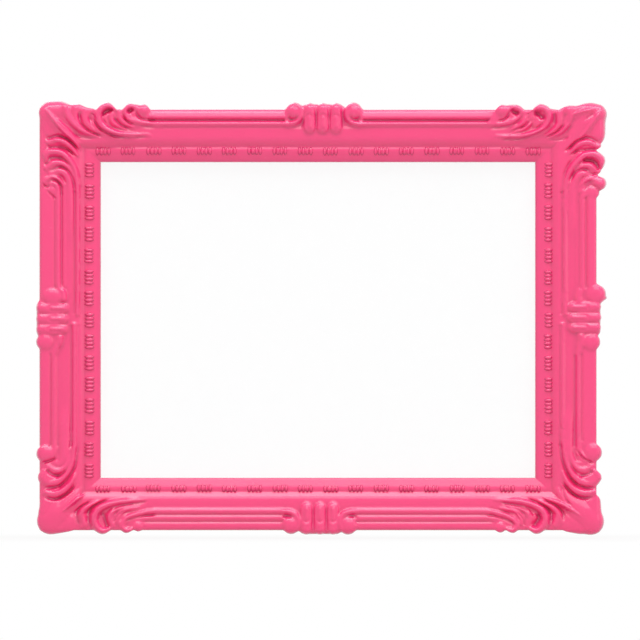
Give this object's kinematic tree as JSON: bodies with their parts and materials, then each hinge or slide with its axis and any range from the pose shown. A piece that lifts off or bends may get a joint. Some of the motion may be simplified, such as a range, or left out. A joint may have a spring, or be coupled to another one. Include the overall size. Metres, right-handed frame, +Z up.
{
  "type": "magnetic photo frame",
  "caption": "Ornate moulded photo frame with scrolled corners, bead row and a clear slide-in window; magnets in its flat back plate hold it on a steel door or board.",
  "frame": {"origin": "middle of the sight opening on the back plane, which lies against the steel surface", "axes": "+X to the right seen from the front, +Y out of the back towards the steel surface, +Z up; the ornate front faces -Y"},
  "size_m": [0.2268, 0.0141, 0.1725],
  "materials": {
    "moulding": "satin gloss hot pink",
    "plate": "matt hot pink",
    "magnet": "nickel plated",
    "window": "clear plastic sheet",
    "screw": "zinc plated"
  },
  "bodies": {
    "frame": {"front_moulding": "moulding", "back_plate": "plate", "magnet_top_left": "magnet", "magnet_top_centre": "magnet", "magnet_top_right": "magnet", "magnet_left_middle": "magnet", "magnet_right_middle": "magnet", "magnet_bottom_left": "magnet", "magnet_bottom_centre": "magnet", "magnet_bottom_right": "magnet", "back_screws": "screw"},
    "window": {"photo_window": "window"}
  },
  "joints": [
    {"name": "window_slide", "type": "slide", "parent": "frame", "child": "window", "axis": [0, 0, 1], "range_m": [0, 0.13]}
  ]
}
